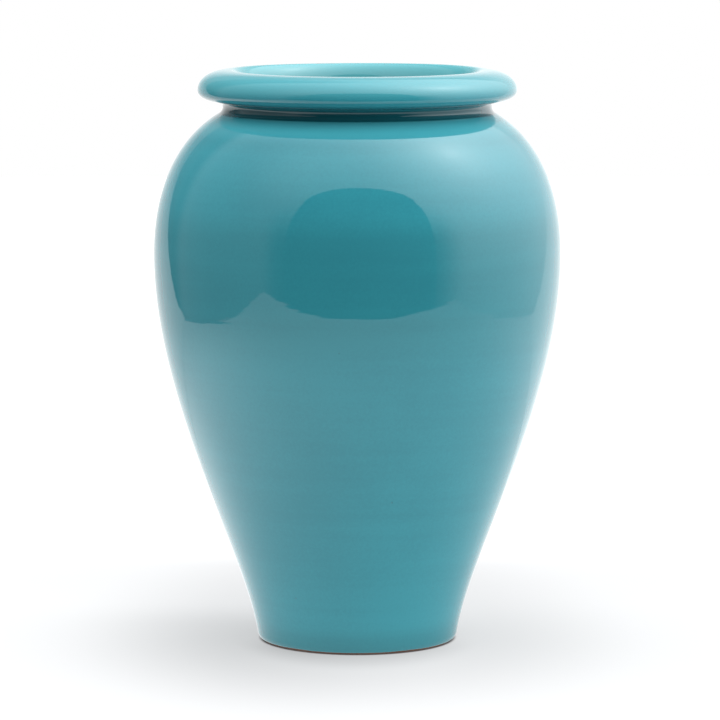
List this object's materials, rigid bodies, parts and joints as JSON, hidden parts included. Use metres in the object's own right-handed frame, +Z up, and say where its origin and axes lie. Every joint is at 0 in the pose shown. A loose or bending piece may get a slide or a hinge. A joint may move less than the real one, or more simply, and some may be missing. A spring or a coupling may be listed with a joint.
{
  "type": "glazed terracotta pot",
  "caption": "Tall terracotta jar-shaped pot with a wide belly, short throat, thick rolled rim, narrow foot and drain hole, coated in gloss turquoise glaze.",
  "frame": {"origin": "centre of the foot, on the surface that the pot stands on", "axes": "+Z up along the pot's axis of turning, from the foot to the mouth; the pot is round, so X and Y are free"},
  "size_m": [0.284, 0.284, 0.4],
  "materials": {
    "bare_terracotta": "matt unglazed, with fine throwing rings",
    "slip": "matt fired slip",
    "turquoise_glaze": "high gloss"
  },
  "bodies": {
    "root": {"lower_wall": "bare_terracotta", "wall_seam_slip": "slip", "upper_wall": "bare_terracotta", "neck_seam_slip": "slip", "rim_roll": "bare_terracotta", "glaze_coat": "turquoise_glaze"}
  },
  "joints": []
}
